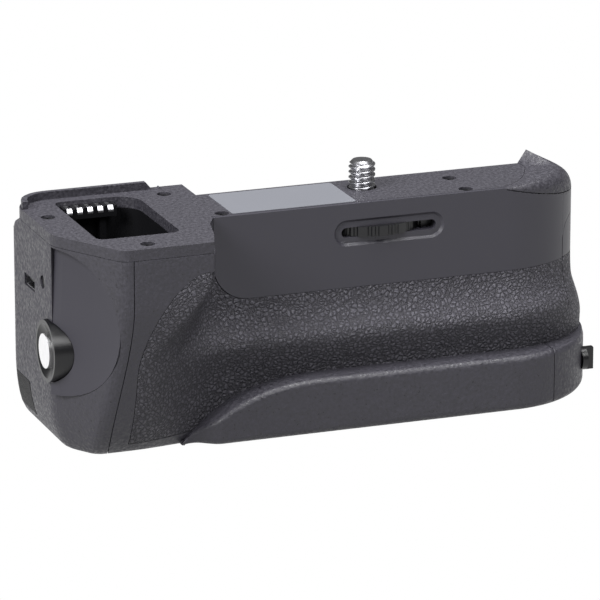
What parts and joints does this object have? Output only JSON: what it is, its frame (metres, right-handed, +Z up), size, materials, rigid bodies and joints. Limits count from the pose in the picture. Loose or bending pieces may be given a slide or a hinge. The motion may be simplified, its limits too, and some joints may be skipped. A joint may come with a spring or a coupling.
{
  "type": "camera battery grip",
  "caption": "Battery grip for a camera: bolts under it by a thumbwheel screw, carries spare batteries in a drawer and repeats the shutter button for upright shots",
  "frame": {"origin": "on the axis of the camera screw, at the deck that the camera stands on", "axes": "+X along the grip to the battery drawer, +Y to the back, +Z up out of the deck along the screw"},
  "size_m": [0.1393, 0.0528, 0.0592],
  "materials": {
    "textured_plastic": "fine grained charcoal moulding",
    "band_plastic": "smooth satin charcoal",
    "grip_rubber": "leather grained soft rubber",
    "black_plastic": "plain black",
    "black_rubber": "fine matte rubber",
    "bright_steel": "bright turned steel",
    "silver_button": "satin silver",
    "brass": "plain brass",
    "gold_contacts": "gold plated",
    "dark_screws": "black oxide",
    "board": "green laminate"
  },
  "bodies": {
    "housing": {"top_deck": "textured_plastic", "corner_horn": "textured_plastic", "deck_screws": "dark_screws", "front_fascia": "band_plastic", "front_shell": "black_plastic", "bulge_shell": "textured_plastic", "grip_rubber": "grip_rubber", "end_cap": "textured_plastic", "shutter_panel": "band_plastic", "shutter_collar": "black_plastic", "shutter_switch": "board", "usb_port": "bright_steel", "usb_tongue": "black_plastic", "status_led": "black_plastic", "thumb_pad": "black_rubber", "rear_cover": "textured_plastic", "base_shell": "textured_plastic", "front_flange": "textured_plastic", "base_screws": "dark_screws", "tripod_bush": "brass", "well_liner": "black_plastic", "contact_block": "black_plastic", "contact_leaves": "bright_steel", "wheel_frame": "black_plastic", "wheel_washer": "bright_steel", "battery_sleeve": "black_plastic", "main_board": "board", "sleeve_pins": "gold_contacts"},
    "shutter": {"shutter_button": "silver_button"},
    "wheel": {"thumbwheel": "black_plastic", "camera_screw": "bright_steel"},
    "drawer": {"battery_tray": "black_plastic", "tray_contacts": "gold_contacts", "tray_cap": "band_plastic"},
    "latch": {"latch_knob": "black_plastic", "latch_cam": "bright_steel"}
  },
  "joints": [
    {"name": "shutter_press", "type": "slide", "parent": "housing", "child": "shutter", "axis": [1, 0, 0], "range_m": [0, 0.0012], "stiffness_N_per_m": 900},
    {"name": "wheel_spin", "type": "hinge", "parent": "housing", "child": "wheel", "pos_m": [0, 0, 0], "axis": [0, 0, 1], "continuous": true},
    {"name": "drawer_slide", "type": "slide", "parent": "housing", "child": "drawer", "axis": [1, 0, 0], "range_m": [0, 0.094]},
    {"name": "latch_turn", "type": "hinge", "parent": "drawer", "child": "latch", "pos_m": [0.0515, -0.0087, -0.0455], "axis": [1, 0, 0], "range_deg": [0, 90]}
  ]
}
